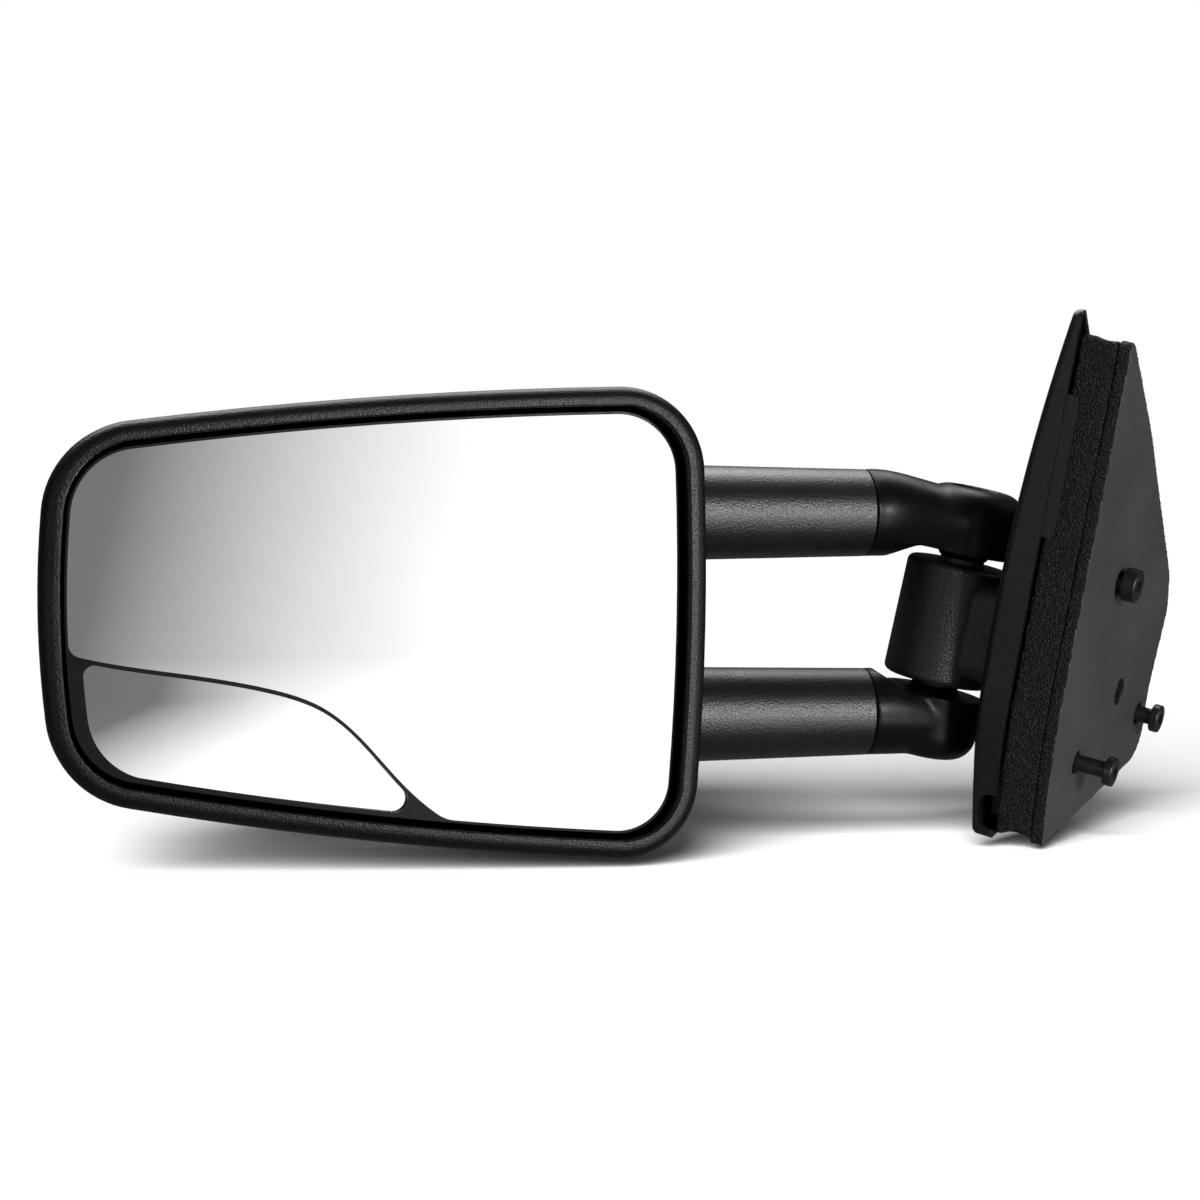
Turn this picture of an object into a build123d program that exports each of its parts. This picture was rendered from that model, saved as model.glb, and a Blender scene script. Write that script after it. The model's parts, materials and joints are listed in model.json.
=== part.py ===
from build123d import *
import os
from math import cos, radians, sin, sqrt

os.makedirs("parts", exist_ok=True)

# Towing mirror, millimetres.  Row frame: origin on the face that meets the door, straight inboard of the
# fold hub; +X inboard along the two arm tubes, +Y forward, +Z up.  The mirror glass looks towards -Y.

# ------------------------------------------------------------------ driving dimensions
# door face
DOOR_YAW = 40.0            # turn of the door face from the tubes, about Z
DOOR_LEAN = 13.0           # lean of the door face and of the fold axis
FOAM_FACE_T = 6.2          # skinned foam layer
FOAM_CORE_T = 17.3         # porous foam layer
FOAM_GAP = 0.05            # glue line between two layers
RIM_W = -23.6              # rim of the cover, measured from the door face
BRACKET_T = 5.0            # bracket plate
PLATE_TOP = 108.0          # top end of the bracket plate above the hub
COVER_WALL = 2.6
HUB_STANDOFF = 72.0        # door face to fold axis

# fold hub and lugs
HUB_R = 25.5
HUB_HALF = 28.5
LUG_R = 25.0
LUG_IN = 30.8              # hub centre to the inner face of a lug
LUG_OUT = 65.0             # hub centre to the outer face of a lug
PIVOT_R = 6.0
BUSH_R = 9.0
BUSH_FLANGE_R = 10.5

# arms
TUBE_Y = 45.1
UPPER_Z = 68.0
LOWER_Z = -26.3
SEAM_X = -96.5             # sleeve end meets the elbow
SLEEVE_R = 20.6            # outer radius at the seam
SLEEVE_DRAFT = 0.0178      # radius gained per millimetre outboard
SLEEVE_BORE_R = 18.2
SLEEVE_END_X = -252.0
TUBE_R = 15.0
TUBE_WALL = 2.2
TUBE_OUT_X = -348.0
RUN = 0.05                 # radial running clearance

# head
FRONT_Y = -16.0            # front edge of the bezel
PART_Y = 3.0               # parting line between bezel and housing
REAR_Y = 90.0
GLASS_Y = -5.5             # front of the main glass
GLASS_T = 2.2
PAD_T = 1.0
CARRIER_T = 2.6
BEZEL_BAND = 8.6           # width of the bezel band
GLASS_INSET = 12.0         # bezel outer edge to glass edge
HOUSING_WALL = 2.8
BALL = Vector(-336.0, 14.5, 18.5)
BALL_R = 11.0
BALL_GAP = 0.3
FRAME_Y0 = 34.0            # front and back of the frame plate
FRAME_Y1 = 40.0
HOUSING_SCREWS = [(-346.0, 34.0), (-346.0, 4.0), (-262.0, 34.0), (-262.0, 4.0)]

# ------------------------------------------------------------------ reference planes
NORMAL = Vector(
    cos(radians(DOOR_LEAN)) * cos(radians(DOOR_YAW)),
    -cos(radians(DOOR_LEAN)) * sin(radians(DOOR_YAW)),
    -sin(radians(DOOR_LEAN)),
)
FORWARD = Vector(sin(radians(DOOR_YAW)), cos(radians(DOOR_YAW)), 0)
DOOR = Plane(origin=(0, 0, 0), x_dir=FORWARD, z_dir=NORMAL)   # local x forward, y up, z inboard
FOLD_DIR = NORMAL.cross(FORWARD)
HUB = NORMAL * -HUB_STANDOFF
LUG_X = (Vector(1, 0, 0) - FOLD_DIR * FOLD_DIR.X).normalized()
FOLD = Plane(origin=HUB, x_dir=LUG_X, z_dir=FOLD_DIR)         # local z along the fold axis

NODES = {}


def keep(name, *solids):
    """Stores the solids of one named piece."""
    flat = []
    for item in solids:
        flat.extend(item.solids())
    NODES[name] = flat[0] if len(flat) == 1 else Compound(flat)


def rod(radius, z0, z1):
    """Cylinder on the local Z axis from z0 to z1."""
    return Pos(0, 0, (z0 + z1) / 2) * Cylinder(radius, z1 - z0)


def tube(outer, inner, z0, z1):
    """Hollow cylinder on the local Z axis."""
    return rod(outer, z0, z1) - rod(inner, z0 - 1, z1 + 1)


def along_x(shape, y, z):
    """Turns a shape built on +Z so that it lies along +X at height z."""
    return Plane(origin=(0, y, z), x_dir=(0, 1, 0), z_dir=(1, 0, 0)).location * shape


def upright(face, y):
    """Stands a flat face up, facing the glass side, at y."""
    return Plane(origin=(0, y, 0), x_dir=(1, 0, 0), z_dir=(0, -1, 0)) * face


def door(shape):
    """Moves a shape from the door face frame to the row frame."""
    return DOOR.location * shape


def fold(shape):
    """Moves a shape from the fold axis frame to the row frame."""
    return FOLD.location * shape


# ------------------------------------------------------------------ base: outlines in the door face frame
def rounded_polygon(points, radii):
    """Face with straight sides and its own radius at each corner."""
    corners = [Vector(*p) for p in points]
    count = len(corners)
    edges = []
    ends = []
    for i, corner in enumerate(corners):
        before = (corners[i - 1] - corner).normalized()
        after = (corners[(i + 1) % count] - corner).normalized()
        half = radians(before.get_angle(after)) / 2
        reach = radii[i] * cos(half) / sin(half)
        middle = (before + after).normalized()
        apex = corner + middle * (radii[i] / sin(half) - radii[i])
        start = corner + before * reach
        end = corner + after * reach
        edges.append(ThreePointArc(start, apex, end))
        ends.append((start, end))
    for i in range(count):
        edges.append(Line(ends[i][1], ends[(i + 1) % count][0]))
    return make_face(Wire(edges))


SAIL = [
    (-53, 147), (-47, 146.5), (14, 109), (112, 38.5), (124, 20), (123, -24), (136, -56), (-11, -91), (-29.5, -40),
]
SAIL_RADII = [3, 3, 120, 20, 14, 50, 16, 2, 150]


COVER = [
    (-61.4, 161.3), (13.5, 108), (111.5, 38), (123.5, 20), (122.5, -24), (135, -55.8), (-16, -93.5), (-34.5, -40),
]
COVER_RADII = [4, 118, 20, 14, 50, 16, 4, 150]


def sail_face():
    return rounded_polygon(SAIL, SAIL_RADII)


def grown(face, amount):
    """Face offset by amount, with rounded corners."""
    return offset(face, amount=amount, kind=Kind.ARC)


def slab(face, w0, w1):
    """Prism on a face in the door frame from w0 to w1."""
    return extrude(Pos(0, 0, w0) * face, amount=w1 - w0)


# place, height of the head's underside, radius and thickness of the head
BOLTS = {
    "upper": ((19.0, 36.0), 2.4, 8.0, 7.0),
    "front": ((112.0, -34.0), 7.5, 7.0, 4.4),
    "lower": ((17.0, -52.0), 14.5, 7.0, 4.4),
}
BOLT_HEAD_ROUND = 0.8
BOLT_R = 4.0
BOLT_CLEAR_R = 5.5
LOCATOR = (65.5, -20.0)
LOCATOR_R = 6.5
SCREW_SPOTS = [(-28, 100), (78, 40), (95, -58), (0, -72)]   # screws that hold the cover to the bracket
SCREW_SINK = 2.4           # depth of the screw heads in the bracket plate
SCREW_BITE = 3.0           # length of thread in the cover's posts
COVER_DEPTHS = [(165, 2.9), (35, 15.4), (-110, 7.9)]      # depth of the cover along its height


def cover_outer(inset):
    """Outside of the cover: a sail prism whose outboard face bows along the height."""
    outline = rounded_polygon(COVER, COVER_RADII)
    if inset:
        outline = grown(outline, -inset)
    body = slab(outline, RIM_W + inset / 9, RIM_W - 30)
    bow = [(t, RIM_W - depth + inset) for t, depth in COVER_DEPTHS]
    above = bow[0][0], RIM_W - 60
    below = bow[2][0], RIM_W - 60
    profile = Wire([
        ThreePointArc(*bow),
        Line(bow[2], below),
        Line(below, above),
        Line(above, bow[0]),
    ])
    side = Plane(origin=(-150, 0, 0), x_dir=(0, 1, 0), z_dir=(1, 0, 0))
    return body - extrude(side * make_face(profile), amount=400)


def outboard_edges(body):
    """Perimeter of the bowed face."""
    bowed = sorted(body.faces(), key=lambda f: f.area)[-1]
    if abs(bowed.center().Z - RIM_W) < 2:
        bowed = sorted(body.faces(), key=lambda f: f.area)[-2]
    return bowed.edges()


def make_base():
    outline = sail_face()
    bolt_holes = [Pos(s, t, 0) * rod(BOLT_CLEAR_R, -60, 5) for (s, t), *_ in BOLTS.values()]
    locator = Pos(LOCATOR[0], LOCATOR[1], 0) * rod(LOCATOR_R, -60, 5)
    face = slab(outline, -FOAM_FACE_T, 0)
    core_out = -FOAM_FACE_T - FOAM_GAP
    core_in = core_out - FOAM_CORE_T
    core = slab(outline, core_in, core_out)
    # hand-cut hollows at the top and bottom ends of the core
    top_cut = Pos(-50, 161.5, core_out - 5) * Rot(0, 90, 0) * Cylinder(16, 60)
    low_cut = Pos(-12, -101.5, core_out - 6) * Rot(0, 90, 0) * Cylinder(14, 40)
    core = core - top_cut - low_cut
    for hole in bolt_holes + [locator]:
        face -= hole
        core -= hole
    keep("foam_face", door(face))
    keep("foam_core", door(core))

    # bracket: plate, bosses, neck and hub
    plate_in = core_in - FOAM_GAP
    plate_out = plate_in - BRACKET_T
    plate = slab(grown(outline, -7), plate_out, plate_in) - Pos(0, PLATE_TOP + 50, plate_in) * Box(300, 100, 40)
    ribs = Pos(40, 0, plate_out - 1.5) * Box(110, 4, 3) + Pos(40, -30, plate_out - 1.5) * Box(4, 60, 3)
    hub = fold(rod(HUB_R, -HUB_HALF, HUB_HALF))
    hub = fillet(hub.edges().filter_by(GeomType.CIRCLE), 3.0)
    neck_face = RectangleRounded(40, 47, 8)
    neck = extrude(Pos(0, 0, -HUB_STANDOFF + 10) * neck_face, amount=HUB_STANDOFF - 10 + plate_in - 1)
    cast = door(plate + ribs + neck) + hub
    for (s, t), *_ in BOLTS.values():
        boss = Pos(s, t, 0) * rod(9, plate_out - 4, plate_out + 1)
        cast += door(boss)
    for s, t in SCREW_SPOTS:
        cast += door(Pos(s, t, 0) * rod(4.5, plate_out - 1, plate_out + 1))
        cast -= door(Pos(s, t, 0) * rod(1.7, plate_out - 2, 0))
        cast -= door(Pos(s, t, 0) * rod(3.2, plate_in - SCREW_SINK, 0))
    for (s, t), *_ in BOLTS.values():
        cast -= door(Pos(s, t, 0) * rod(BOLT_R + RUN, -60, 5))
    cast -= fold(rod(BUSH_R + RUN, -40, 40))
    keep("base_bracket", cast)
    screws = []
    for s, t in SCREW_SPOTS:
        head = rod(3.0, plate_in - SCREW_SINK, plate_in - 0.2)
        slots = Pos(0, 0, plate_in - 0.2) * (Box(0.8, 4, 2.4) + Box(4, 0.8, 2.4))
        shank = rod(1.5, plate_out - 1 - SCREW_BITE, plate_in - SCREW_SINK)
        screws.append(door(Pos(s, t, 0) * (head - slots + shank)))
    keep("cover_screws", *screws)
    return plate_out


def make_cover(plate_out):
    outer = cover_outer(0)
    outer = fillet(outboard_edges(outer), 3.5)
    inner = cover_outer(COVER_WALL)
    inner = fillet(outboard_edges(inner), 1.2)
    shell = outer - inner
    # opening for the neck
    shell -= slab(RectangleRounded(41, 48, 8.5), RIM_W - 60, RIM_W + 5)
    # tab that stands up from the rear wall beside the foam
    tab = Box(1.6, 66, 12)
    tab = fillet(tab.edges().filter_by(Axis.X).group_by(Axis.Z)[-1], 3.0)
    tab = Pos(-49.4, 86, RIM_W) * Rot(0, 0, 7.6) * tab
    # drain notch at the bottom of the rear wall
    notch = Box(30, 17, 12)
    notch = Pos(-26, -80, RIM_W - 1.4) * fillet(notch.edges().filter_by(Axis.X), 5.0)
    shell = shell + tab - notch
    for s, t in SCREW_SPOTS:
        shell += Pos(s, t, 0) * rod(3.6, RIM_W - 30, plate_out - 1.05) & cover_outer(1.2)
        shell -= Pos(s, t, 0) * rod(1.55, plate_out - 1.3 - SCREW_BITE, plate_out)
    keep("base_cover", door(shell))


def make_bolts(plate_out):
    for name, ((s, t), standoff, head_r, head_t) in BOLTS.items():
        shank = rod(BOLT_R, plate_out - 4 + 1, standoff + 1)
        head = rod(head_r, standoff, standoff + head_t)
        head = fillet(head.edges().filter_by(GeomType.CIRCLE), BOLT_HEAD_ROUND)
        socket = Pos(0, 0, standoff + head_t - 2.6) * extrude(RegularPolygon(2.9, 6), amount=3)
        bolt = shank + head - socket
        keep(name + "_mounting_bolt", door(Pos(s, t, 0) * bolt))


# ------------------------------------------------------------------ pivot: bushes, bolt, nut, springs, caps
COUNTERBORE_R = 11.2
HEAD_SEAT = 56.0
NUT_SEAT = 54.0
SPRING_SEAT = 49.0
CAP_T = 2.2


def make_pivot():
    for name, turn in (("upper", 0), ("lower", 180)):
        barrel = tube(BUSH_R, PIVOT_R + RUN, 1.5, HUB_HALF)
        flange = tube(BUSH_FLANGE_R, PIVOT_R + RUN, HUB_HALF, LUG_IN - 0.1)
        keep(name + "_pivot_bush", fold(Rot(turn, 0, 0) * (barrel + flange)))
        lid = rod(COUNTERBORE_R - 0.05, LUG_OUT - 4.0, LUG_OUT - 1.0)
        lid = fillet(lid.edges().filter_by(GeomType.CIRCLE).sort_by(Axis.Z)[-1], 0.8)
        lid -= rod(COUNTERBORE_R - 2, LUG_OUT - 5, LUG_OUT - 4 + CAP_T / 2)
        keep(name + "_pivot_cap", fold(Rot(turn, 0, 0) * lid))
    head = rod(9.5, HEAD_SEAT, HEAD_SEAT + 4.5)
    head = fillet(head.edges().filter_by(GeomType.CIRCLE).sort_by(Axis.Z)[-1], 1.0)
    head -= Pos(0, 0, HEAD_SEAT + 2) * extrude(RegularPolygon(4.6, 6), amount=4)
    keep("pivot_bolt", fold(head + rod(PIVOT_R, -NUT_SEAT - 6, HEAD_SEAT)))
    nut = extrude(Pos(0, 0, -NUT_SEAT - 5.5) * RegularPolygon(10.2, 6), amount=5.5)
    nut -= rod(PIVOT_R + RUN, -NUT_SEAT - 7, -NUT_SEAT + 1)
    keep("pivot_nut", fold(nut))
    discs = []
    for i in range(4):
        low = -NUT_SEAT + 0.05 + i * 1.22
        rise = 0.45 if i % 2 else -0.45
        profile = Polyline(
            (PIVOT_R + 0.2, low + 0.45 + rise / 2),
            (9.8, low + 0.45 - rise / 2),
            (9.8, low + 0.75 - rise / 2),
            (PIVOT_R + 0.2, low + 0.75 + rise / 2),
            close=True,
        )
        discs.append(revolve(Plane.XZ * make_face(profile), Axis.Z))
    keep("disc_springs", *[fold(d) for d in discs])


# ------------------------------------------------------------------ arms: elbows, inner tubes, stops, screws
ELBOW_SECTIONS = [(0.0, 0.0), (9.0, 0.0), (26.0, 0.5)]     # distance from the seam, share of the lug's shape
TUBE_END_GAP = 16.5                                        # seam to the end of the inner tube in the elbow


def elbow_section(share, z, x, side):
    """Oval cross-section of an elbow between the round seam and the flat lug."""
    radius = SLEEVE_R - 0.05
    wide = radius + share * (LUG_R - 0.5 - radius)
    high = radius + share * ((LUG_OUT - LUG_IN) / 2 - 0.3 - radius)
    lug_point = HUB + FOLD_DIR * (side * (LUG_OUT + LUG_IN) / 2)
    middle = Vector(x, TUBE_Y + share * (lug_point.Y - TUBE_Y), z + share * (lug_point.Z - z))
    normal = (Vector(1, 0, 0) * (1 - share) + LUG_X * share).normalized()
    return Plane(origin=middle, x_dir=(0, 1, 0), z_dir=normal) * Ellipse(wide, high)


def make_elbow(name, z, side):
    lug = rod(LUG_R, LUG_IN - 2, LUG_OUT)
    lug = fillet(lug.edges().filter_by(GeomType.CIRCLE).sort_by(Axis.Z)[-1], 12.0)
    lug = fold(Rot(0 if side > 0 else 180, 0, 0) * lug)
    lug_middle = HUB + FOLD_DIR * (side * (LUG_OUT + LUG_IN) / 2)
    places = [(SEAM_X + run, share) for run, share in ELBOW_SECTIONS] + [(lug_middle.X, 1.0)]
    neck = loft([elbow_section(share, z, x, side) for x, share in places])
    relief = revolve(Plane.XZ * make_face(Polyline(
        (0, -LUG_IN), (28.5, -LUG_IN), (34.0, -LUG_IN + 5), (34.0, LUG_IN - 5), (28.5, LUG_IN), (0, LUG_IN),
        close=True)), Axis.Z)
    body = neck + lug - fold(relief)
    bore = rod(PIVOT_R + 0.15, -80, 80)
    seat = HEAD_SEAT if side > 0 else -SPRING_SEAT
    pocket = rod(COUNTERBORE_R, min(seat, side * 80), max(seat, side * 80))
    body -= fold(bore + pocket)
    body -= along_x(rod(TUBE_R + RUN, SEAM_X - 1, SEAM_X + TUBE_END_GAP + 0.5), TUBE_Y, z)
    body -= set_screw(z, 0.02)
    keep(name + "_elbow", body)


def set_screw(z, gap):
    """Grub screw that enters the elbow from the front and bites on the inner tube."""
    frame = Plane(origin=(SEAM_X + 9, TUBE_Y, z), x_dir=(1, 0, 0), z_dir=(0, 1, 0))
    return frame.location * rod(2.5 + gap, 0 if gap else TUBE_R, 30 if gap else 19.4)


def make_arm(name, z, side):
    make_elbow(name, z, side)
    sleeve_tube = tube(TUBE_R, TUBE_R - TUBE_WALL, TUBE_OUT_X, SEAM_X + TUBE_END_GAP)
    keep(name + "_inner_tube", along_x(sleeve_tube, TUBE_Y, z))
    stop = rod(17.4, TUBE_OUT_X - 4, TUBE_OUT_X) + rod(TUBE_R - TUBE_WALL - 0.05, TUBE_OUT_X, TUBE_OUT_X + 14)
    stop -= rod(4, TUBE_OUT_X - 5, TUBE_OUT_X + 15)
    keep(name + "_tube_stop", along_x(stop, TUBE_Y, z))


# ------------------------------------------------------------------ head: sleeves and their bushes
BUSH_LEN = 28.0
SEAM_GAP = 0.3


def sleeve_radius(x):
    return SLEEVE_R + SLEEVE_DRAFT * (SEAM_X - x)


def make_sleeve(name, z):
    near = SEAM_X - SEAM_GAP
    profile = Polyline(
        (SLEEVE_BORE_R, near),
        (sleeve_radius(near) - 0.6, near),
        (sleeve_radius(near), near - 0.6),
        (sleeve_radius(SLEEVE_END_X), SLEEVE_END_X),
        (SLEEVE_BORE_R, SLEEVE_END_X),
        close=True,
    )
    body = revolve(Plane.XZ * make_face(profile), Axis.Z)
    body = along_x(body, TUBE_Y, z) - clamp_axis(z) * rod(2.05, 19.4, 30)
    keep(name + "_sleeve", body)
    inboard = tube(SLEEVE_BORE_R - 0.02, TUBE_R + RUN, near - 0.6 - BUSH_LEN, near - 0.6)
    keep(name + "_inboard_bush", along_x(inboard, TUBE_Y, z))
    outboard = tube(SLEEVE_BORE_R - 0.02, TUBE_R + RUN, SLEEVE_END_X, SLEEVE_END_X + BUSH_LEN)
    outboard += tube(20.5, TUBE_R + RUN, SLEEVE_END_X - 2, SLEEVE_END_X)
    keep(name + "_outboard_bush", along_x(outboard, TUBE_Y, z))


# ------------------------------------------------------------------ head: outline, bezel, housing
HEAD_CORNERS = [(-477.0, 102.0), (-193.5, 124.0), (-198.0, -88.0), (-475.0, -52.5)]
HEAD_BULGE = [(-335.0, 118.0), (-190.8, 30.0), (-336.5, -75.7), (-482.7, 20.0)]
HEAD_RADII = [42.0, 38.0, 35.0, 42.0]


def circle_through(a, b, c):
    """Centre and radius of the circle through three points."""
    (ax, az), (bx, bz), (cx, cz) = a, b, c
    double = 2 * (ax * (bz - cz) + bx * (cz - az) + cx * (az - bz))
    x = ((ax**2 + az**2) * (bz - cz) + (bx**2 + bz**2) * (cz - az) + (cx**2 + cz**2) * (az - bz)) / double
    z = ((ax**2 + az**2) * (cx - bx) + (bx**2 + bz**2) * (ax - cx) + (cx**2 + cz**2) * (bx - ax)) / double
    return Vector(x, z), sqrt((ax - x) ** 2 + (az - z) ** 2)


def circles_meet(first, second, near):
    """The crossing of two circles that is nearer to a point."""
    (p, r), (q, s) = first, second
    gap = (q - p).length
    along = (gap**2 + r**2 - s**2) / (2 * gap)
    across = sqrt(r**2 - along**2)
    way = (q - p).normalized()
    foot = p + way * along
    side = Vector(-way.Y, way.X) * across
    return min(foot + side, foot - side, key=lambda point: (point - Vector(*near)).length)


def head_outline(inset):
    """Outline of the head in x and z, moved inward by inset: four bowed sides with round corners."""
    circles = []
    for i, corner in enumerate(HEAD_CORNERS):
        centre, radius = circle_through(corner, HEAD_BULGE[i], HEAD_CORNERS[(i + 1) % 4])
        circles.append((centre, radius - inset))
    corners = [circles_meet(circles[i - 1], circles[i], HEAD_CORNERS[i]) for i in range(4)]
    edges = []
    for i, (centre, radius) in enumerate(circles):
        start, end = corners[i], corners[(i + 1) % 4]
        crest = centre + ((start + end) / 2 - centre).normalized() * radius
        edges.append(ThreePointArc(start, crest, end))
    face = make_face(Wire(edges))
    for corner, radius in zip(corners, HEAD_RADII):
        face = fillet(face.vertices().sort_by_distance(corner)[0], radius - inset)
    return face


def head_face(inset, y):
    """Outline of the head on the upright plane at y."""
    return upright(head_outline(inset), y)


def back_from(face, depth):
    """Prism that runs back from the glass, towards +Y."""
    return extrude(face, amount=depth, dir=(0, 1, 0))


def drafted(inset0, y0, inset1, y1):
    """Block between two insets of the head's outline."""
    return loft([head_face(inset0, y0), head_face(inset1, y1)], ruled=True)


def edges_near_y(body, y, reach=0.6):
    return [e for e in body.edges() if abs(e.center().Y - y) < reach and e.bounding_box().size.Y < reach]


def make_bezel():
    depth = PART_Y - FRONT_Y
    outer = back_from(head_face(0, FRONT_Y), depth)
    outer = fillet(edges_near_y(outer, FRONT_Y), 6.0)
    opening = drafted(BEZEL_BAND + 0.1, FRONT_Y - 1, BEZEL_BAND - 1.4, PART_Y + 1)
    ring = outer - opening
    inner_lip = [e for e in edges_near_y(ring, FRONT_Y) if e.bounding_box().size.Y < 0.2]
    ring = fillet(inner_lip, 0.8)
    groove = back_from(head_face(2.6, FRONT_Y + 3.4), depth) - back_from(head_face(5.4, FRONT_Y), depth + 5)
    keep("bezel", ring - groove)


HOUSING_DRAFT = 0.12       # inset per millimetre of depth
BACK_ROUND = 24.0


def housing_block(inset, depth):
    body = drafted(inset, PART_Y, inset + HOUSING_DRAFT * depth, PART_Y + depth)
    return fillet(edges_near_y(body, PART_Y + depth), BACK_ROUND - inset)


def from_behind(x, z):
    """Axis that enters the back of the housing towards the glass."""
    return Plane(origin=(x, REAR_Y, z), x_dir=(1, 0, 0), z_dir=(0, -1, 0)).location


def make_housing():
    depth = REAR_Y - PART_Y
    shell = housing_block(0, depth) - housing_block(HOUSING_WALL, depth - HOUSING_WALL)
    for z in (UPPER_Z, LOWER_Z):
        shell -= along_x(rod(sleeve_radius(-200) + 0.4, -225, -170), TUBE_Y, z)
    for x, z in HOUSING_SCREWS:
        shell += from_behind(x, z) * rod(7, 0.5, REAR_Y - FRAME_Y1)
    for x, z in HOUSING_SCREWS:
        shell -= from_behind(x, z) * (rod(4.6, -1, 8) + rod(2.1, 7, REAR_Y))
    keep("rear_housing", shell)
    screws = []
    for x, z in HOUSING_SCREWS:
        head = rod(4.3, 5.4, 8) - Pos(0, 0, 4.4) * Box(1.2, 5, 3) - Pos(0, 0, 4.4) * Box(5, 1.2, 3)
        screws.append(from_behind(x, z) * (head + rod(2.0, 8, REAR_Y - FRAME_Y1 + 5)))
    keep("housing_screws", *screws)


# ------------------------------------------------------------------ head: frame and ball stud
CLAMP_X = (-250.0, -228.0)
CLAMP_R = 27.0
CLAMP_FRONT_Y = 20.0       # flat on the front of each clamp, behind the swinging glass
CLAMP_BOSS = 29.0          # tube axis to the seat of a clamp screw


def box_between(x0, x1, y0, y1, z0, z1):
    return Pos((x0 + x1) / 2, (y0 + y1) / 2, (z0 + z1) / 2) * Box(x1 - x0, y1 - y0, z1 - z0)


def clamp_axis(z):
    """Axis of a clamp screw, from a tube's axis towards the back of the head."""
    return Plane(origin=(sum(CLAMP_X) / 2, TUBE_Y, z), x_dir=(1, 0, 0), z_dir=(0, 1, 0)).location


def make_frame():
    x0, x1 = CLAMP_X
    plate = box_between(-358, x1, FRAME_Y0, FRAME_Y1, -6, 44)
    plate = fillet(plate.edges().filter_by(Axis.Y), 5)
    body = plate + box_between(x0, x1, FRAME_Y0, 56, -4, 46)
    for z in (UPPER_Z, LOWER_Z):
        body += along_x(rod(CLAMP_R, x0, x1), TUBE_Y, z)
        body += clamp_axis(z) * rod(6.0, 24.0, CLAMP_BOSS)
    for z in (UPPER_Z, LOWER_Z):
        body -= along_x(rod(sleeve_radius(-250) + 0.05, x0 - 5, x1 + 5), TUBE_Y, z)
        body -= clamp_axis(z) * rod(2.05, 15.0, CLAMP_BOSS + 1)
    body -= box_between(x0 - 5, x1 + 5, 0, CLAMP_FRONT_Y, LOWER_Z - 40, UPPER_Z + 40)
    stand = Plane(origin=(BALL.X, FRAME_Y0, BALL.Z), x_dir=(1, 0, 0), z_dir=(0, -1, 0))
    body += stand.location * rod(11, -FRAME_Y1 + FRAME_Y0, 3)
    for z in (14, 24):
        body += box_between(-350, x0 + 2, FRAME_Y1 - 0.5, FRAME_Y1 + 6, z - 1.5, z + 1.5)
    body -= stand.location * rod(4.05, -10, 10)
    for x, z in HOUSING_SCREWS:
        body -= Pos(x, FRAME_Y0, z) * Rot(90, 0, 0) * Cylinder(2.05, 30)
    keep("head_frame", body)
    screws = []
    for z in (UPPER_Z, LOWER_Z):
        head = rod(3.9, CLAMP_BOSS, CLAMP_BOSS + 2.6)
        head -= Pos(0, 0, CLAMP_BOSS + 1.2) * extrude(RegularPolygon(2.2, 6), amount=3)
        screws.append(clamp_axis(z) * (head + rod(2.0, 19.6, CLAMP_BOSS)))
    keep("frame_screws", *screws)
    ball = Pos(*BALL) * Sphere(BALL_R)
    neck = stand.location * (rod(5.2, 3.0, FRAME_Y0 - BALL.Y) + rod(4.0, -FRAME_Y1 + FRAME_Y0 - 1, 3))
    keep("ball_stud", ball + neck)


# ------------------------------------------------------------------ glass: liner, socket, clip, carrier
LINER_R = (BALL_R + BALL_GAP, 13.0)
SOCKET_R = (13.0 + BALL_GAP, 15.6)
CARRIER_BACK = GLASS_Y + GLASS_T + PAD_T + CARRIER_T


def cup(inner, outer, front, back):
    """Spherical cup round the ball, cut flat in front and open at the back."""
    shell = Pos(*BALL) * (Sphere(outer) - Sphere(inner))
    keep_box = box_between(BALL.X - 30, BALL.X + 30, front, back, BALL.Z - 30, BALL.Z + 30)
    return shell & keep_box


def socket_places():
    """Four screw axes round the socket, on the back of the carrier."""
    back = Plane(origin=(BALL.X, CARRIER_BACK, BALL.Z), x_dir=(1, 0, 0), z_dir=(0, 1, 0))
    return [back.location * Rot(0, 0, 45 + 90 * turn) * Pos(18.6, 0, 0) for turn in range(4)]


def socket_holes(z0, z1):
    return Compound([place * rod(1.6, z0, z1) for place in socket_places()])


def make_swivel():
    keep("swivel_liner", cup(*LINER_R, BALL.Y - 12.6, BALL.Y + 6.0))
    socket = Pos(*BALL) * Sphere(SOCKET_R[1])
    face = Plane(origin=(BALL.X, CARRIER_BACK, BALL.Z), x_dir=(1, 0, 0), z_dir=(0, 1, 0))
    socket += face.location * rod(22, 0, 3.5)
    socket &= box_between(BALL.X - 40, BALL.X + 40, CARRIER_BACK, BALL.Y + 5.0, BALL.Z - 40, BALL.Z + 40)
    socket -= Pos(*BALL) * Sphere(SOCKET_R[0])
    socket -= socket_holes(-1, 8)
    keep("swivel_socket", socket)
    clip = Plane(origin=(BALL.X, BALL.Y + 2.2, BALL.Z), x_dir=(1, 0, 0), z_dir=(0, 1, 0))
    keep("socket_clip", clip.location * tube(17.2, 15.65, 0, 1.8))
    screws = []
    for place in socket_places():
        screws.append(place * (rod(1.55, -1.6, 3.5) + rod(2.8, 3.5, 5.2)))
    keep("socket_screws", *screws)


# the S-shaped edge between the two glasses, outboard to inboard
DIVIDE = [(-478, 9.5), (-425, -1.2), (-386, -8.3), (-362, -17), (-344, -32), (-328, -50), (-308, -67), (-280, -77)]
RIB = 2.0                  # width of the rib between the glasses
RIM = 1.1
DOME_R = 1500.0            # radius of the convex spot glass
DOME_RISE = 1.2            # crown of the spot glass over its rim plane


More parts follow.
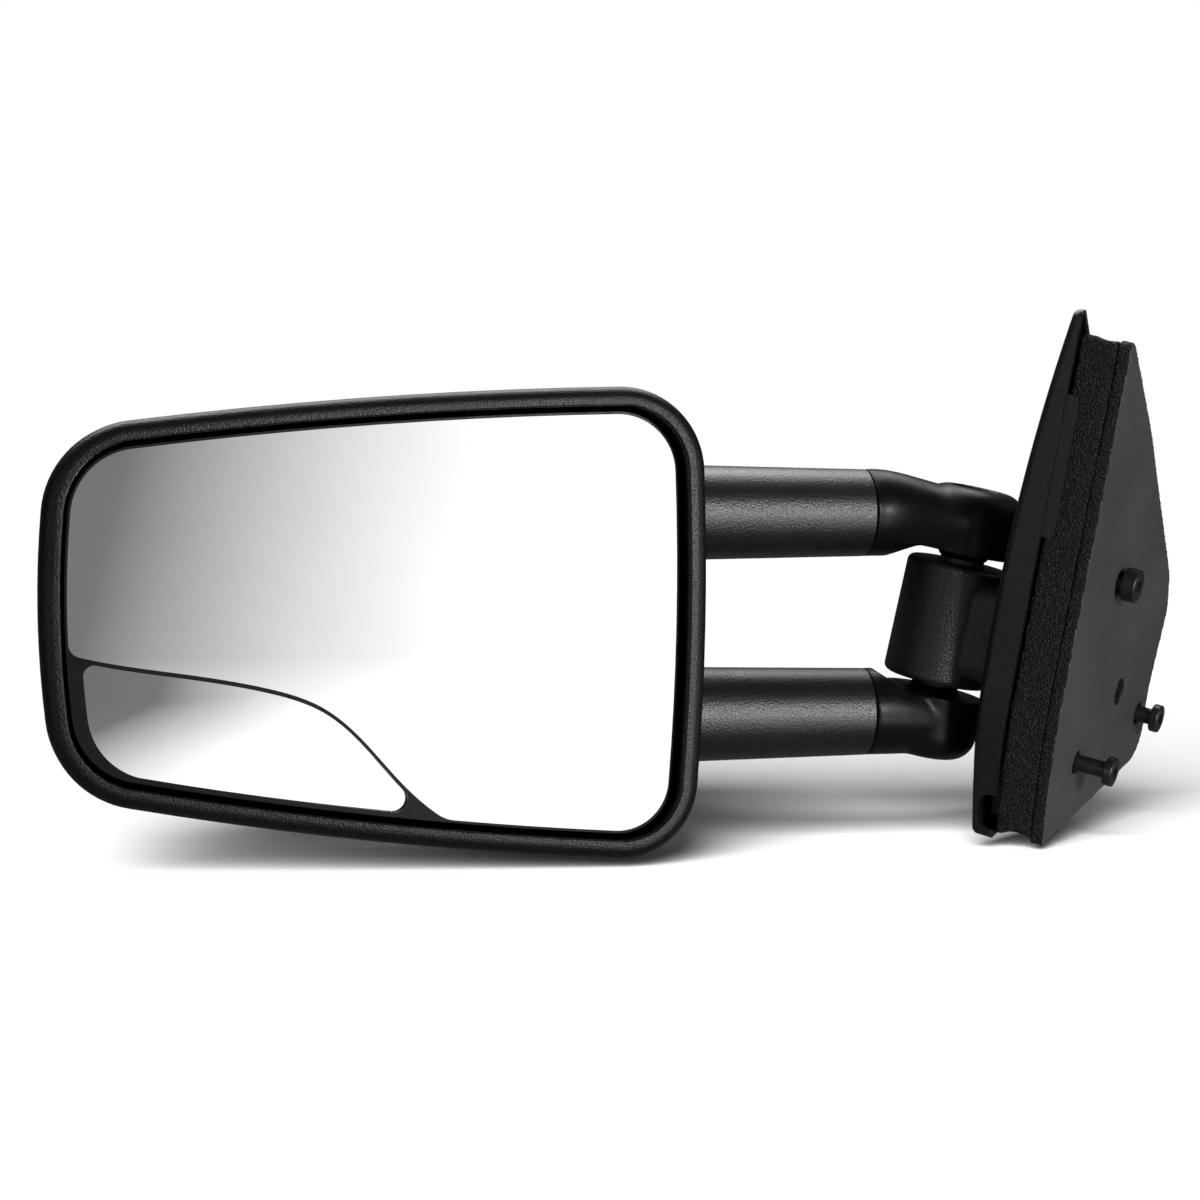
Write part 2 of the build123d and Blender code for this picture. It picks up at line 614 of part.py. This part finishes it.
def below_divide(drop):
    """Area under the S-shaped edge, lowered by drop."""
    curve = Spline([(x, z - drop) for x, z in DIVIDE])
    start = curve @ 0
    end = curve @ 1
    floor = -140
    wire = Wire([
        curve,
        Line(end, (end.X, floor)),
        Line((end.X, floor), (start.X, floor)),
        Line((start.X, floor), start),
    ])
    return make_face(wire)


def rounded_corners(face, rounds):
    """Rounds the corner of a face that is nearest to each place."""
    for place, radius in rounds:
        face = fillet(face.vertices().sort_by_distance(Vector(*place))[0], radius)
    return face


def glass_shapes(grow):
    """Flat outlines of the main and the spot glass, both grown by grow."""
    whole = head_outline(GLASS_INSET - grow)
    main = whole - below_divide(grow)
    outer = head_outline(GLASS_INSET + 1.2 - grow) & Pos(5.5, 0, 0) * whole
    spot = outer & below_divide(RIB - grow)
    main, spot = [shape.faces().sort_by(SortBy.AREA)[-1] for shape in (main, spot)]
    main = rounded_corners(main, [((-470, 8), 6 + grow), ((-283, -74), 16 + grow)])
    spot = rounded_corners(spot, [((-462, 4), 4.5 + grow), ((-300, -74), 5.5 + grow)])
    return main, spot


def between(face, y0, y1):
    """Prism on a flat outline from y0 to y1."""
    return back_from(upright(face, y0), y1 - y0)


def make_glass():
    main, spot = glass_shapes(0)
    spot_y = GLASS_Y + 2.0                 # rim of the spot glass, set back from the main glass
    spot_back = spot_y + GLASS_T
    main_back = GLASS_Y + GLASS_T
    pocket = CARRIER_BACK - 1.0
    keep("main_glass", between(main, GLASS_Y, main_back))
    small_main, small_spot = glass_shapes(-3)
    keep("main_pad", between(small_main, main_back, main_back + PAD_T))
    centre = spot.center()
    dome = Pos(centre.X, spot_y - DOME_RISE + DOME_R, centre.Y) * Sphere(DOME_R)
    keep("spot_glass", between(spot, spot_y - 4, spot_back) & dome)
    keep("spot_pad", between(small_spot, spot_back, pocket))
    rim = head_outline(GLASS_INSET - RIM)
    body = between(rim, GLASS_Y - 0.4, CARRIER_BACK)
    wide_main, wide_spot = glass_shapes(0.15)
    body -= between(wide_main, GLASS_Y - 2, main_back + PAD_T)
    body -= between(wide_spot, GLASS_Y - 2, pocket)
    body -= socket_holes(-1.7, 1)
    keep("glass_carrier", body)


plate_out = make_base()
make_cover(plate_out)
make_bolts(plate_out)

make_pivot()
for arm, height, way in (("upper", UPPER_Z, 1), ("lower", LOWER_Z, -1)):
    make_arm(arm, height, way)
    make_sleeve(arm, height)
keep("tube_set_screws", set_screw(UPPER_Z, 0), set_screw(LOWER_Z, 0))
make_bezel()
make_housing()
make_frame()
make_swivel()
make_glass()

for node, solid in NODES.items():
    export_step(solid, f"parts/{node}.step")
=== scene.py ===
import json
from math import cos, radians, sin

import bmesh
import bpy
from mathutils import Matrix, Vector, noise


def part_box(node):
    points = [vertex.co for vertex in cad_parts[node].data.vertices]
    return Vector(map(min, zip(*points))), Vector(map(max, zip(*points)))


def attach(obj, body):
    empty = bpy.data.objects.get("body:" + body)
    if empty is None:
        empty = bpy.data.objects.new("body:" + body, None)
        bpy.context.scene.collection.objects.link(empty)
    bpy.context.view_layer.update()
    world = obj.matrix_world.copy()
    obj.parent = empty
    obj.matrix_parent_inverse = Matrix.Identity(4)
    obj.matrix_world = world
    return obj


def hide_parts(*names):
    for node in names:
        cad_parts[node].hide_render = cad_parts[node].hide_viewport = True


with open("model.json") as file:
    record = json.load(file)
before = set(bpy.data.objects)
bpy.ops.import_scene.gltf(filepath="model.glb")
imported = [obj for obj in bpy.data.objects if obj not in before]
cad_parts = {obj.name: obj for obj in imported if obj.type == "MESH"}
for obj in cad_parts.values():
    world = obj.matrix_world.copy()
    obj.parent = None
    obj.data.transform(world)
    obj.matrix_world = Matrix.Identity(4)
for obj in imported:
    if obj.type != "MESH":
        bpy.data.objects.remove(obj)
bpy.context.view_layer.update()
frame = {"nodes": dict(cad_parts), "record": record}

NODES = frame["nodes"]
RECORD = frame["record"]
SCENE = bpy.context.scene
MM = 0.001

STANDS_OFF = 2 * MM          # lowest point of the mirror above the floor
FLOOR_Z = min(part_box(node)[0].z for node in ("bezel", "base_cover", "foam_face")) - STANDS_OFF


def grey(value, warm=0.0):
    """Linear grey, or a slightly yellow one."""
    return (value * (1 + warm), value, value * (1 - warm))


def between_0_and_1(value):
    return min(1.0, max(0.0, value))


# ------------------------------------------------------------------ node helpers
class Nodes:
    """A node tree, built from nested calls that each return a socket."""

    def __init__(self, tree):
        self.tree = tree

    def node(self, kind, inputs=None, **settings):
        """New shader node; each input is another node's socket or a plain value."""
        made = self.tree.nodes.new("ShaderNode" + kind)
        for key, value in settings.items():
            setattr(made, key, value)
        for key, value in (inputs or {}).items():
            if isinstance(value, bpy.types.NodeSocket):
                self.tree.links.new(value, made.inputs[key])
            else:
                made.inputs[key].default_value = value
        return made

    def spread(self, value, low, high, out_low, out_high):
        """A value between low and high, stretched to run from out_low to out_high."""
        return self.node("MapRange", {
            "Value": value, "From Min": low, "From Max": high, "To Min": out_low, "To Max": out_high,
        }).outputs["Result"]

    def math(self, operation, first, second):
        return self.node("Math", {0: first, 1: second}, operation=operation).outputs[0]

    def grey_ramp(self, value, stops):
        """Greys over a value, from (position, grey) pairs."""
        made = self.node("ValToRGB", {0: value})
        elements = made.color_ramp.elements
        while len(elements) < len(stops):
            elements.new(0.5)
        for element, (position, tone) in zip(elements, stops):
            element.position = position
            element.color = (*grey(tone), 1)
        return made.outputs[0]


class Maker(Nodes):
    """Builds one procedural material on a Principled shader."""

    def __init__(self, name, surface=None):
        self.material = bpy.data.materials.new(name)
        self.material.use_nodes = True
        super().__init__(self.material.node_tree)
        self.shader = self.tree.nodes["Principled BSDF"]
        for socket, value in (surface or {}).items():
            self.shader.inputs[socket].default_value = value

    def place(self, stretch=(1, 1, 1)):
        """Object coordinates in metres, stretched."""
        where = self.node("TexCoord").outputs["Object"]
        return self.node("Mapping", {"Vector": where, "Scale": stretch}).outputs["Vector"]

    def noise(self, size, detail=3.0, rough=0.5, where=None):
        """Noise whose features are about size metres across."""
        inputs = {"Vector": where or self.place(), "Scale": 1 / size, "Detail": detail, "Roughness": rough}
        return self.node("TexNoise", inputs).outputs["Fac"]

    def cells(self, size):
        """Cell pattern with cells about size metres across."""
        inputs = {"Vector": self.place(), "Scale": 1 / size}
        return self.node("TexVoronoi", inputs, feature="F1").outputs["Distance"]

    def blend(self, factor, under, over):
        """Two colours mixed by a factor; each is a colour or another node's socket."""
        made = self.node("Mix", {"Factor": factor}, data_type="RGBA")
        for key, colour in ((6, under), (7, over)):
            if isinstance(colour, bpy.types.NodeSocket):
                self.tree.links.new(colour, made.inputs[key])
            else:
                made.inputs[key].default_value = (*colour, 1)
        return made.outputs[2]

    def bump(self, height, depth, strength=1.0):
        """Bump whose height runs over depth metres."""
        inputs = {"Height": height, "Distance": depth, "Strength": strength}
        return self.node("Bump", inputs).outputs["Normal"]

    def wear(self, reach):
        """1 on outside edges, 0 on open faces."""
        edge = self.node("Bevel", {"Radius": reach}, samples=4).outputs["Normal"]
        flat = self.node("NewGeometry").outputs["Normal"]
        same = self.node("VectorMath", {0: edge, 1: flat}, operation="DOT_PRODUCT").outputs["Value"]
        return self.spread(same, 0.75, 0.98, 1.0, 0.0)

    def set(self, socket, value):
        self.tree.links.new(value, self.shader.inputs[socket])


# ------------------------------------------------------------------ materials
GLOSS = "Specular IOR Level"


def grained_plastic(name, tone=0.0055, cell=0.85 * MM, depth=0.12 * MM, rough=0.22, shine=0.5):
    """Black polypropylene with a spark-eroded grain: raised pebbles with dull valleys, scuffed edges. The
    colour carries a painted highlight on the pebble crests and painted shade in the valleys.
    """
    look = Maker(name, {GLOSS: shine})
    pebble = look.cells(cell)
    fine = look.noise(cell * 0.6, detail=1.0)
    broad = look.noise(55 * MM, detail=1.0)
    grain = look.math("SUBTRACT", look.math("MULTIPLY", fine, 0.3), pebble)
    look.set("Normal", look.bump(grain, depth))

    crest = look.spread(pebble, 0.10, 0.55, 1, 0)
    patches = look.spread(look.noise(5 * MM, 2.0), 0.45, 0.7, 0.0, 1.0)
    scuff = look.math("MULTIPLY", look.wear(0.8 * MM), patches)
    # painted light: the colour is lighter on the pebble crests and darker in the valleys, a painted
    # highlight and painted shade in the grain; the broad noise varies the tone at random
    lit = look.math("MULTIPLY", crest, look.spread(broad, 0.3, 0.7, 0.7, 1.0))
    shade = look.blend(lit, grey(tone * 0.3), grey(tone * 1.8))
    look.set("Base Color", look.blend(scuff, shade, grey(tone * 3.0)))

    dullness = look.spread(crest, 0, 1, rough + 0.16, rough)
    look.set("Roughness", look.math("ADD", dullness, look.spread(broad, 0.3, 0.7, 0, 0.05)))
    return look.material


def satin_plastic(name, tone=0.0025, rough=0.36, shine=0.12):
    """Black moulded plastic with a polished tool finish."""
    look = Maker(name, {GLOSS: shine})
    ripple = look.noise(1.3 * MM)
    broad = look.noise(30 * MM)
    look.set("Normal", look.bump(ripple, 0.05 * MM, 0.7))
    shade = look.spread(broad, 0.35, 0.65, 0, 1)
    look.set("Base Color", look.blend(shade, grey(tone * 0.8), grey(tone * 1.2)))
    look.set("Roughness", look.spread(look.noise(7 * MM, 5.0), 0.3, 0.7, rough - 0.05, rough + 0.08))
    return look.material


def coated_casting(name):
    """Die casting with a fine powder coat."""
    return grained_plastic(name, tone=0.008, cell=1.0 * MM, depth=0.20 * MM, rough=0.26)


def porous_foam(name, tone=0.0016):
    """Open-cell foam, cut with a knife: dark pores between bright torn walls. The dark pores are painted
    shade, and scattered painted glints lighten the colour in spots.
    """
    look = Maker(name, {GLOSS: 0.25})
    pore = look.cells(1.15 * MM)
    small_pore = look.cells(0.6 * MM)
    wall = look.math("ADD", pore, look.math("MULTIPLY", small_pore, 0.7))
    # painted glints: scattered spots of far lighter colour, with lower roughness, stand in for glints on
    # the foam
    painted_glint = look.spread(look.noise(0.70 * MM, 1.0), 0.50, 0.68, 0, 1)
    # painted shade: the pores are coloured far darker than the cell walls around them
    shade = look.blend(look.spread(wall, 0.35, 1.05, 0, 1), grey(tone * 0.15), grey(tone * 1.5))
    look.set("Base Color", look.blend(painted_glint, shade, grey(tone * 16)))
    look.set("Roughness", look.spread(painted_glint, 0, 1, 0.72, 0.38))
    look.set("Normal", look.bump(wall, 0.9 * MM))
    return look.material


def foam_skin(name, tone=0.036):
    """Smooth skin of the thin foam layer, faintly wrinkled."""
    look = Maker(name, {GLOSS: 0.3})
    wrinkle = look.noise(2.2 * MM, 4.0, where=look.place((1.0, 1.0, 2.0)))
    fine = look.noise(0.6 * MM, 2.0)
    broad = look.noise(60 * MM)
    relief = look.math("ADD", wrinkle, look.math("MULTIPLY", fine, 0.35))
    look.set("Normal", look.bump(relief, 0.22 * MM))
    shade = look.spread(broad, 0.35, 0.65, 0, 1)
    look.set("Base Color", look.blend(shade, grey(tone * 0.86), grey(tone * 1.14)))
    look.set("Roughness", look.spread(wrinkle, 0.3, 0.7, 0.48, 0.62))
    return look.material


def metal(name, tone, rough, metallic=1.0, warm=0.0, size=1.2 * MM):
    """Plain metal with a plated or cast skin."""
    look = Maker(name, {"Metallic": metallic})
    fleck = 0.12
    grain = look.noise(size, 4.0)
    look.set("Normal", look.bump(grain, 0.03 * MM))
    shade = look.spread(grain, 0.3, 0.7, 0, 1)
    dark, light = grey(tone * (1 - fleck), warm), grey(tone * (1 + fleck), warm)
    look.set("Base Color", look.blend(shade, dark, light))
    look.set("Roughness", look.spread(look.noise(6 * MM, 4.0), 0.3, 0.7, rough - 0.06, rough + 0.08))
    return look.material


def mirror_glass(name):
    """Silvered glass with the faintest haze of dust."""
    look = Maker(name, {"Metallic": 1.0})
    haze = look.noise(35 * MM, 6.0, 0.6)
    clean, dusty = (0.93, 0.935, 0.94), (0.89, 0.90, 0.905)
    look.set("Base Color", look.blend(look.spread(haze, 0.35, 0.75, 0, 1), clean, dusty))
    look.set("Roughness", look.spread(haze, 0.4, 0.8, 0.008, 0.028))
    return look.material


MATERIALS = {
    "grained_plastic": grained_plastic("grained_plastic"),
    "satin_plastic": satin_plastic("satin_plastic"),
    "coated_casting": coated_casting("coated_casting"),
    "porous_foam": porous_foam("porous_foam"),
    "foam_skin": foam_skin("foam_skin"),
    "black_bolt": metal("black_bolt", 0.045, 0.34, metallic=0.85),
    "bush_nylon": satin_plastic("bush_nylon", 0.05, 0.42, 0.5),
    "zinc_steel": metal("zinc_steel", 0.55, 0.30, warm=0.02),
    "spring_steel": metal("spring_steel", 0.28, 0.28),
    "cast_metal": metal("cast_metal", 0.42, 0.46, size=2.0 * MM),
    "coated_tube": satin_plastic("coated_tube", 0.010, 0.26, 0.5),
    "mirror_glass": mirror_glass("mirror_glass"),
    "pad_foam": porous_foam("pad_foam"),
}

# the bezel is duller than the other grained pieces
OWN_MATERIAL = {"bezel": grained_plastic("bezel_plastic", tone=0.0050, shine=0.22)}

for part in RECORD["subparts"]:
    shape = NODES[part["node"]]
    shape.data.materials.clear()
    shape.data.materials.append(OWN_MATERIAL.get(part["node"], MATERIALS[part["material_slot"]]))


# ------------------------------------------------------------------ pieces made again from the CAD
def voxel_copy(node, name, voxel):
    """Copy of a CAD piece that is remeshed in even cells."""
    piece = bpy.data.objects.new(name, NODES[node].data.copy())
    SCENE.collection.objects.link(piece)
    remesh = piece.modifiers.new("remesh", "REMESH")
    remesh.mode = "VOXEL"
    remesh.voxel_size = voxel
    return piece


def baked(piece):
    """Mesh of a piece with its modifiers applied."""
    seen = piece.evaluated_get(bpy.context.evaluated_depsgraph_get())
    return bpy.data.meshes.new_from_object(seen)


def softened(piece, passes):
    """The remeshed piece with its edges smoothed, as its own plain mesh."""
    piece.modifiers.new("smooth", "SMOOTH").iterations = passes
    mesh = baked(piece)
    piece.modifiers.clear()
    piece.data = mesh
    return mesh


# ------------------------------------------------------------------ foam gasket
DOOR_TURN = radians(40)      # the door face looks rearwards and inboard,
DOOR_LEAN = radians(13)      # and leans downwards
DOOR_OUT = Vector((cos(DOOR_LEAN) * cos(DOOR_TURN), -cos(DOOR_LEAN) * sin(DOOR_TURN), -sin(DOOR_LEAN)))
SIDE_BELOW = 0.9             # how far a normal follows the door's before it counts as a face
SIDE_FADE = 0.4
SKIN_ABOVE = 0.72
CELLS_PER_MM = 0.62
CELL_MIDDLE = 0.75
WAVES_PER_MM = 0.055         # slow wander of the knife
WAVE_DEPTH = 0.45 * MM


def cut_foam(node, name, voxel, tear, soften, skinned):
    """Foam layer with knife-cut sides: the sides are torn into cells and the edges are soft."""
    piece = voxel_copy(node, name, voxel)
    mesh = softened(piece, soften)
    normals = [vertex.normal.copy() for vertex in mesh.vertices]
    for vertex, normal in zip(mesh.vertices, normals):
        side = between_0_and_1((SIDE_BELOW - abs(normal.dot(DOOR_OUT))) / SIDE_FADE)
        where = vertex.co / MM
        cells = noise.voronoi(where * CELLS_PER_MM)[0][0]
        wander = noise.noise(where * WAVES_PER_MM)
        push = -tear * (CELL_MIDDLE - cells) + WAVE_DEPTH * wander
        vertex.co += normal * push * side
    mesh.materials.clear()
    mesh.materials.append(MATERIALS["porous_foam"])
    mesh.materials.append(MATERIALS["foam_skin"])
    for polygon in mesh.polygons:
        polygon.material_index = int(skinned and polygon.normal.dot(DOOR_OUT) > SKIN_ABOVE)
        polygon.use_smooth = True
    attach(piece, "base")
    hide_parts(node)


cut_foam("foam_core", "gasket_core", 1.1 * MM, 0.55 * MM, 2, skinned=False)
cut_foam("foam_face", "gasket_face", 1.0 * MM, 0.28 * MM, 3, skinned=True)

# ------------------------------------------------------------------ elbows
FOLD_JOINT = next(joint for joint in RECORD["behaviour"]["joints"] if joint["name"] == "fold")
HUB = Vector(FOLD_JOINT["pos_m"])
FOLD_DIR = Vector(FOLD_JOINT["axis"]).normalized()
ELBOW_VOXEL = 0.9 * MM
SEAM_CRISP = 2 * MM          # stays sharp from the sleeve seam
SEAM_FADE = 7 * MM           # and is fully soft after this much more
SEAM_STILL = 4 * MM          # untouched by the last smoothing
GAP_FLOOR = 34.4 * MM        # hub centre to the underside of an elbow, outside its boss
BOSS_R = 12.0 * MM
RELIEF_R = 30.0 * MM
RELIEF_END = RELIEF_R * 1.25
RELIEF_SLOPE = 1.2


def clear_of_hub(place):
    """A place on an elbow, lifted off the hub where it lies in the gap round the boss."""
    away = place - HUB
    height = away.dot(FOLD_DIR)
    radius = (away - FOLD_DIR * height).length
    floor_height = GAP_FLOOR - max(0.0, radius - RELIEF_R) * RELIEF_SLOPE
    if BOSS_R < radius < RELIEF_END and abs(height) < floor_height:
        way = 1 if height > 0 else -1
        return place + FOLD_DIR * (way * floor_height - height)
    return place


def soft_elbow(node, name):
    """Elbow with blended shoulders, cleared round its boss so that light shows over the hub."""
    seam_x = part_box(node)[0].x
    piece = voxel_copy(node, name, ELBOW_VOXEL)
    crisp = baked(piece)
    mesh = softened(piece, 16)
    for vertex, sharp in zip(mesh.vertices, crisp.vertices):
        share = between_0_and_1((sharp.co.x - seam_x - SEAM_CRISP) / SEAM_FADE)
        vertex.co = clear_of_hub(sharp.co.lerp(vertex.co, share))
    shape = bmesh.new()
    shape.from_mesh(mesh)
    inner = [vertex for vertex in shape.verts if vertex.co.x > seam_x + SEAM_STILL]
    every_way = {"use_axis_x": True, "use_axis_y": True, "use_axis_z": True}
    for _ in range(4):
        bmesh.ops.smooth_vert(shape, verts=inner, factor=0.5, **every_way)
    shape.to_mesh(mesh)
    shape.free()
    mesh.materials.clear()
    mesh.materials.append(MATERIALS["satin_plastic"])
    for polygon in mesh.polygons:
        polygon.use_smooth = True
    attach(piece, "arms")
    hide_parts(node)


soft_elbow("upper_elbow", "upper_arm_elbow")
soft_elbow("lower_elbow", "lower_arm_elbow")

# ------------------------------------------------------------------ studio helpers
MIDDLE = Vector((-0.24, 0.03, 0.02))
GLOW_LEAN = 0.125            # how far a card's ramp leans over its height
GLOW_LOW, GLOW_HIGH = 0.30, 0.42
GLOW_SHIFT = -0.12           # shift of the ramp below GLOW_LOW, gone at GLOW_HIGH


def bearing(azimuth, elevation):
    """Direction from the middle; azimuth 0 is straight in front, positive towards +X."""
    turn, rise = radians(azimuth), radians(elevation)
    return Vector((sin(turn) * cos(rise), -cos(turn) * cos(rise), sin(rise)))


def towards(azimuth, elevation, distance):
    return MIDDLE + bearing(azimuth, elevation) * distance


def facing(direction, front="-Z"):
    """Turn that points a lamp, the camera or a card's front along a direction."""
    return direction.to_track_quat(front, "Y")


def stand(name, data, place, turn):
    """New object in the scene, placed and turned."""
    made = bpy.data.objects.new(name, data)
    SCENE.collection.objects.link(made)
    made.location = place
    made.rotation_mode = "QUATERNION"
    made.rotation_quaternion = turn
    return made


def emitter(name, strength, ramp=None):
    """Even glow, or one that runs across a card from left to right by a grey ramp."""
    material = bpy.data.materials.new(name)
    material.use_nodes = True
    material.cycles.emission_sampling = "NONE"
    nodes = Nodes(material.node_tree)
    nodes.tree.nodes.clear()
    glow = nodes.node("Emission", {"Strength": strength})
    nodes.node("OutputMaterial", {0: glow.outputs[0]})
    if ramp:
        across, up, _ = nodes.node("SeparateXYZ", {0: nodes.node("TexCoord").outputs["UV"]}).outputs
        lean = nodes.node("Math", {0: up, 1: GLOW_LEAN, 2: across}, operation="MULTIPLY_ADD").outputs[0]
        shift = nodes.spread(up, GLOW_LOW, GLOW_HIGH, GLOW_SHIFT, 0.0)
        shade = nodes.grey_ramp(nodes.math("ADD", lean, shift), ramp)
        nodes.tree.links.new(shade, glow.inputs["Color"])
    return material


def seen_by(shape, camera, light, mirror):
    """Chooses which rays meet a card; none of them casts a shadow."""
    shape.visible_camera = camera
    shape.visible_diffuse = light
    shape.visible_glossy = mirror
    shape.visible_transmission = mirror
    shape.visible_shadow = False


def panel(name, width, height, centre, aim, material):
    """Flat card that faces a point."""
    mesh = bpy.data.meshes.new(name)
    half_w, half_h = width / 2, height / 2
    corners = [(-half_w, -half_h, 0), (half_w, -half_h, 0), (half_w, half_h, 0), (-half_w, half_h, 0)]
    mesh.from_pydata(corners, [], [(0, 1, 2, 3)])
    layer = mesh.uv_layers.new(name="UVMap")
    for i, uv in enumerate([(0, 0), (1, 0), (1, 1), (0, 1)]):
        layer.data[i].uv = uv
    mesh.materials.append(material)
    card = stand(name, mesh, centre, facing(Vector(aim) - Vector(centre), "Z"))
    return card


def area_light(name, size, centre, aim, power, receivers):
    """Soft box that lights only its receivers."""
    data = bpy.data.lights.new(name, "AREA")
    data.shape = "RECTANGLE"
    data.size, data.size_y = size
    data.energy = power
    lamp = stand(name, data, centre, facing(Vector(aim) - Vector(centre)))
    lamp.visible_camera = False
    lamp.light_linking.receiver_collection = receivers


def sky(bottom, level, top):
    """World light that changes with height only."""
    world = bpy.data.worlds.new("studio")
    SCENE.world = world
    world.use_nodes = True
    nodes = Nodes(world.node_tree)
    where = nodes.node("TexCoord").outputs["Generated"]
    height = nodes.node("SeparateXYZ", {0: where}).outputs["Z"]
    share = nodes.spread(height, -1, 1, 0, 1)
    shade = nodes.grey_ramp(share, [(0.30, bottom), (0.47, level), (0.56, level), (0.85, top)])
    nodes.tree.links.new(shade, nodes.tree.nodes["Background"].inputs["Color"])


# ------------------------------------------------------------------ studio
# white dome: what the camera sees behind the object, and nothing else sees it
bpy.ops.mesh.primitive_uv_sphere_add(segments=48, ring_count=24, radius=14, location=MIDDLE)
dome = bpy.context.object
dome.name = "backdrop"
dome.data.materials.append(emitter("backdrop_white", 1.0))
seen_by(dome, camera=True, light=False, mirror=False)

# pale floor, lit by a lamp of its own so that the object's black stays black
floor_look = Maker("floor_white", {"Base Color": (*grey(0.86), 1), "Roughness": 0.9, GLOSS: 0.1})
under_middle = (MIDDLE.x, MIDDLE.y, FLOOR_Z)
floor = panel("floor", 24, 24, under_middle, (MIDDLE.x, MIDDLE.y, 1), floor_look.material)
floor.visible_glossy = False

floor_only = bpy.data.collections.new("floor_only")
floor_only.objects.link(floor)
not_floor = bpy.data.collections.new("not_floor")
not_floor.objects.link(floor)
not_floor.collection_objects[0].light_linking.link_state = "EXCLUDE"

sun_data = bpy.data.lights.new("floor_lamp", "SUN")
sun_data.energy = 10.0
sun_data.angle = radians(30)
sun = stand("floor_lamp", sun_data, (0, 0, 0), facing(-(towards(-28, 21, 1) - MIDDLE)))
sun.light_linking.receiver_collection = floor_only

sky(bottom=0.16, level=0.035, top=0.10)

FRONT_RAMP = [(0.06, 0.9), (0.36, 0.9), (0.42, 0.62), (0.51, 0.15), (0.68, 0.10)]
# name, width, height, place, glow: cards that are seen in the glass and in shiny plastic only
CARDS = (
    ("front_card", 3.2, 1.6, towards(-6, 0, 2.3), emitter("front_glow", 1.3, FRONT_RAMP)),
    ("low_card", 0.50, 0.5, towards(28, -17, 1.6), emitter("low_glow", 9.0)),
    ("left_card", 1.5, 1.3, towards(-50, 4, 2.0), emitter("left_glow", 0.7)),
)
for name, width, height, place, glow in CARDS:
    seen_by(panel(name, width, height, place, MIDDLE, glow), camera=False, light=False, mirror=True)

area_light("side_softbox", (0.26, 0.10), towards(21, 7, 1.9), MIDDLE, 27, not_floor)
area_light("overhead", (1.6, 0.9), (-0.25, 0.60, 1.25), (-0.25, 0.05, 0.0), 30, not_floor)
area_light("door_side", (0.9, 0.5), towards(66, 2, 1.6), MIDDLE, 3, not_floor)

# ------------------------------------------------------------------ camera
TARGET = Vector((-0.2408, -0.0159, 0.0292))
CAMERA_SIDE = bearing(-14.0, 1.6)
CAMERA_DISTANCE = 1.2

camera_data = bpy.data.cameras.new("camera")
camera_data.sensor_width = 36.0
camera_data.lens = 81.8
camera_data.clip_start, camera_data.clip_end = 0.05, 50.0
camera = stand("camera", camera_data, TARGET + CAMERA_SIDE * CAMERA_DISTANCE, facing(-CAMERA_SIDE))
SCENE.camera = camera
SCENE.view_settings.view_transform = "Standard"
